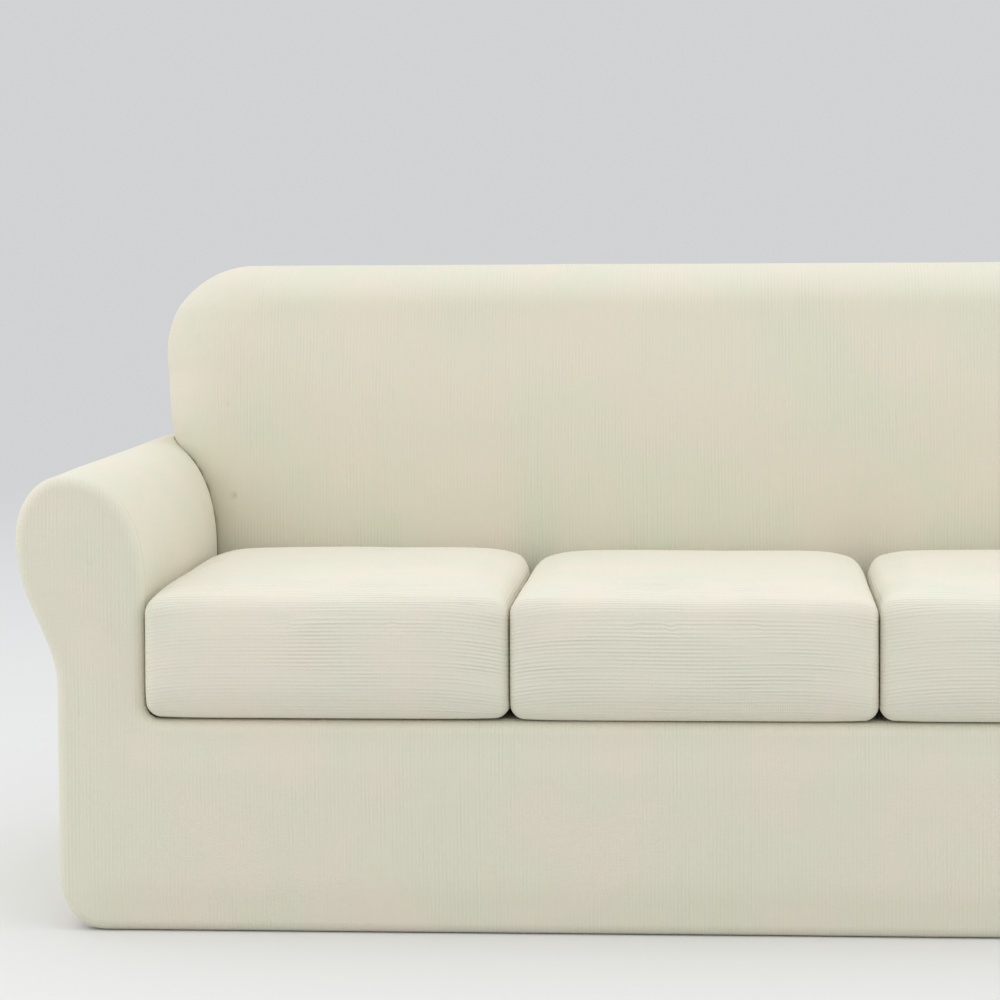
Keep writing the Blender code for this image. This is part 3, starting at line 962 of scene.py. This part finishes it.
# %% Shape the cushion covers
SEATS = (                # (name, place in steps of the pitch, crown of the top, lift of the front)
    ("cushion_cover_left", -1, 0.021, 0.0020),
    ("cushion_cover_centre", 0, 0.014, 0.0005),
    ("cushion_cover_right", 1, 0.016, 0.0010),
)
CUSHION_PITCH = 0.5245
CUSHION_HALF_X = 0.2612
CUSHION_FRONT_Y = -0.440
CUSHION_REAR_Y = 0.134
CUSHION_SIDE_H = 0.174
CUSHION_ROUND = 0.020
CUSHION_REAR_LIFT = 0.004
CUSHION_TAPER = 0.080    # narrower towards the rear corners, by this share
UNDER_TUCK = 0.010       # the lower edge of the front draws back this far
UNDER_TUCK_UP = 0.045    # over this height
UNDER_NEAR = 0.7         # share of the depth where the lift of that edge starts
CORNER_LIFT = 0.003      # its corners are lifted by this much more
CUSHION_BULGE = 0.007    # room for the swell of the front
FRONT_SWELL = 0.0035
SIDE_SWELL = 0.0003
CUSHION_HEM = 0.085
CUSHION_SQUARES = 0.011
CUSHION_UNEVEN = 1.6 * UNEVEN
ROUND_STOPS = (0.0, 0.22, 0.48, 0.74)
RIB_DROOP = 0.012        # the ribs dip towards the corners of the front
FLATNESS = {             # powers: the higher, the later a form falls off towards the edge
    "crown across": 14, "crown along": 6, "swell": 4, "corner": 8, "taper": 5, "droop": 5,
}


def stations(low, high):
    """Places of the grid lines along one side: closer together on the rounded ends."""
    near, far = low + CUSHION_ROUND, high - CUSHION_ROUND
    count = max(2, round((far - near) / CUSHION_SQUARES))
    middle = [near + (far - near) * k / count for k in range(count + 1)]
    ends = [CUSHION_ROUND * stop for stop in ROUND_STOPS]
    return [low + end for end in ends] + middle + [high - end for end in reversed(ends)]


def eased(place, low, high):
    """A point of a box's skin, moved onto the same box with round edges."""
    core = Vector([
        clamp(place[i], low[i] + CUSHION_ROUND, high[i] - CUSHION_ROUND) for i in range(3)])
    out = place - core
    return core + out.normalized() * CUSHION_ROUND if out.length > 0 else place


def filled(place, low, high, crown, stand):
    """Crown the top, swell the front and the sides, and lift the edges, as the filling does."""
    middle, half = (low + high) / 2, (high - low) / 2
    u, v, w = [(place[i] - middle[i]) / half[i] for i in range(3)]
    rise = crown * max(0, 1 - abs(u) ** FLATNESS["crown across"])
    rise = rise * max(0, 1 - abs(v) ** FLATNESS["crown along"]) + CUSHION_REAR_LIFT * (v + 1) / 2
    full = 1 - w * w
    taper = 1 - CUSHION_TAPER * max(0, v) ** FLATNESS["taper"]
    lower = ease(1 - (place.z - low.z) / UNDER_TUCK_UP)
    tuck = UNDER_TUCK * lower * ease(-v)
    lift = (stand + CORNER_LIFT * abs(u) ** FLATNESS["corner"]) * lower
    lift = lift * ease((-v - UNDER_NEAR) / (1 - UNDER_NEAR))
    side_swell = SIDE_SWELL * full * u * (1 - abs(v) ** FLATNESS["swell"])
    front_swell = FRONT_SWELL * full * min(0, v) * (1 - abs(u) ** FLATNESS["swell"])
    lean = BACK_LEAN * (place.z - low.z) * max(0, v)
    return Vector((
        middle.x + (place.x - middle.x) * taper + side_swell,
        place.y + front_swell + lean + tuck,
        place.z + rise * max(0, (w + 1) / 2) + lift))


def cushion_pattern(side, place, low, high):
    """Flat place of a point on one side of the cover, with the ribs across the cushion."""
    width, depth, height = high - low
    bend = RIB_DROOP * abs((place.x - low.x) / width * 2 - 1) ** FLATNESS["droop"]
    up, back = place.z - low.z, place.y - low.y
    return {
        "front": (up + bend, place.x - low.x),
        "top": (height + back, place.x - low.x),
        "rear": (height + depth + height - up, place.x - low.x),
        "left": (up + RIB_DROOP, -back),
        "right": (up + RIB_DROOP, width + back),
        "under": (-back, place.x - low.x),
    }[side]


def side_of(normal):
    names = (("left", "right"), ("front", "rear"), ("under", "top"))
    axis = max(range(3), key=lambda i: abs(normal[i]))
    return names[axis][normal[axis] > 0]


PRESSURE = 1.2
PUSH_FRAMES = 20
STRETCH_STIFFNESS = 60
PUSH_LIMITS = (0.0004, 0.0035, 0.0060)   # the most that a point moves in x, y and z
PULLED_IN = 0.15         # share of an inward move that is kept, where tension draws an edge in
KEPT_UNEVEN = Vector((0.25, 1, 1))       # less in x, where the covers nearly touch
OTHER_COVER = 3          # shifts the noise, so that no two covers are uneven alike


def pushed_out(name, bm, under):
    """Inflate the closed cover for a moment and say where each of its points comes to rest."""
    mesh = bpy.data.meshes.new(name)
    bm.to_mesh(mesh)
    bag = bpy.data.objects.new(name, mesh)
    bpy.context.scene.collection.objects.link(bag)
    held = bag.vertex_groups.new(name="held")
    held.add(under, 1.0, "REPLACE")
    cloth = bag.modifiers.new("filling", "CLOTH")
    cloth.settings.quality = 6
    cloth.settings.mass = 0.25
    cloth.settings.tension_stiffness = STRETCH_STIFFNESS
    cloth.settings.compression_stiffness = STRETCH_STIFFNESS
    cloth.settings.shear_stiffness = 12
    cloth.settings.bending_stiffness = 10
    cloth.settings.air_damping = 3
    cloth.settings.vertex_group_mass = held.name
    cloth.settings.use_pressure = True
    cloth.settings.uniform_pressure_force = PRESSURE
    cloth.settings.effector_weights.gravity = 0
    cloth.collision_settings.use_collision = False
    cloth.point_cache.frame_start, cloth.point_cache.frame_end = 1, PUSH_FRAMES
    for frame_number in range(1, PUSH_FRAMES + 1):
        bpy.context.scene.frame_set(frame_number)
    result = bag.evaluated_get(bpy.context.evaluated_depsgraph_get()).data
    places = [vert.co.copy() for vert in result.vertices]
    bpy.context.scene.frame_set(1)
    bpy.data.objects.remove(bag)
    return places


for name, step, crown, stand in SEATS:
    middle_x = step * CUSHION_PITCH
    low = Vector((middle_x - CUSHION_HALF_X, CUSHION_FRONT_Y + CUSHION_BULGE, DECK_Z + GAP))
    high = Vector((middle_x + CUSHION_HALF_X, CUSHION_REAR_Y, DECK_Z + CUSHION_SIDE_H))
    lines = [stations(low[i], high[i]) for i in range(3)]
    bm = bmesh.new()
    uv = bm.loops.layers.uv.new("cloth")
    bmesh.ops.create_cube(bm, size=2.0)
    for axis in range(3):
        along = [
            edge for edge in bm.edges if abs((edge.verts[0].co - edge.verts[1].co)[axis]) > 1.5]
        bmesh.ops.subdivide_edges(bm, edges=along, cuts=len(lines[axis]) - 2, use_grid_fill=True)
    for vert in bm.verts:
        vert.co = [
            line[round((vert.co[i] + 1) / 2 * (len(line) - 1))] for i, line in enumerate(lines)]
    bm.verts.index_update()
    under = [vert.index for vert in bm.verts if vert.co.z == low.z]
    bm.normal_update()
    for face in bm.faces:
        side = side_of(face.normal)
        for loop in face.loops:
            loop[uv].uv = cushion_pattern(side, loop.vert.co, low, high)
    opening = [
        face for face in bm.faces
        if face.normal.z < -0.5
        and abs(face.calc_center_median().x - middle_x) < CUSHION_HALF_X - CUSHION_HEM
        and low.y + CUSHION_HEM < face.calc_center_median().y < high.y - CUSHION_HEM]
    for vert in bm.verts:
        place = filled(eased(vert.co, low, high), low, high, crown, stand)
        share = ease((place.z - low.z) / CUSHION_ROUND)
        uneven = settle(place + Vector((step, 0, OTHER_COVER)), CUSHION_UNEVEN)
        vert.co = place + uneven * KEPT_UNEVEN * share
    bmesh.ops.recalc_face_normals(bm, faces=bm.faces[:])
    moves = [place - vert.co for vert, place in zip(bm.verts, pushed_out(name, bm, under))]
    bm.normal_update()
    for vert, move in zip(bm.verts, moves):
        kept = move * (PULLED_IN if move.dot(vert.normal) < 0 else 1.0)
        vert.co += Vector([limit * tanh(far / limit) for far, limit in zip(kept, PUSH_LIMITS)])
    furthest = max(move.length for move in moves)
    print(name, "would move", round(furthest * 1000, 1), "mm; kept to a few of them")
    bmesh.ops.delete(bm, geom=opening, context="FACES")
    face_toward(bm, (0, 0, 1))
    cover = cloth_object(name + "_knit", bm)
    finished(cover, name, seat_knit)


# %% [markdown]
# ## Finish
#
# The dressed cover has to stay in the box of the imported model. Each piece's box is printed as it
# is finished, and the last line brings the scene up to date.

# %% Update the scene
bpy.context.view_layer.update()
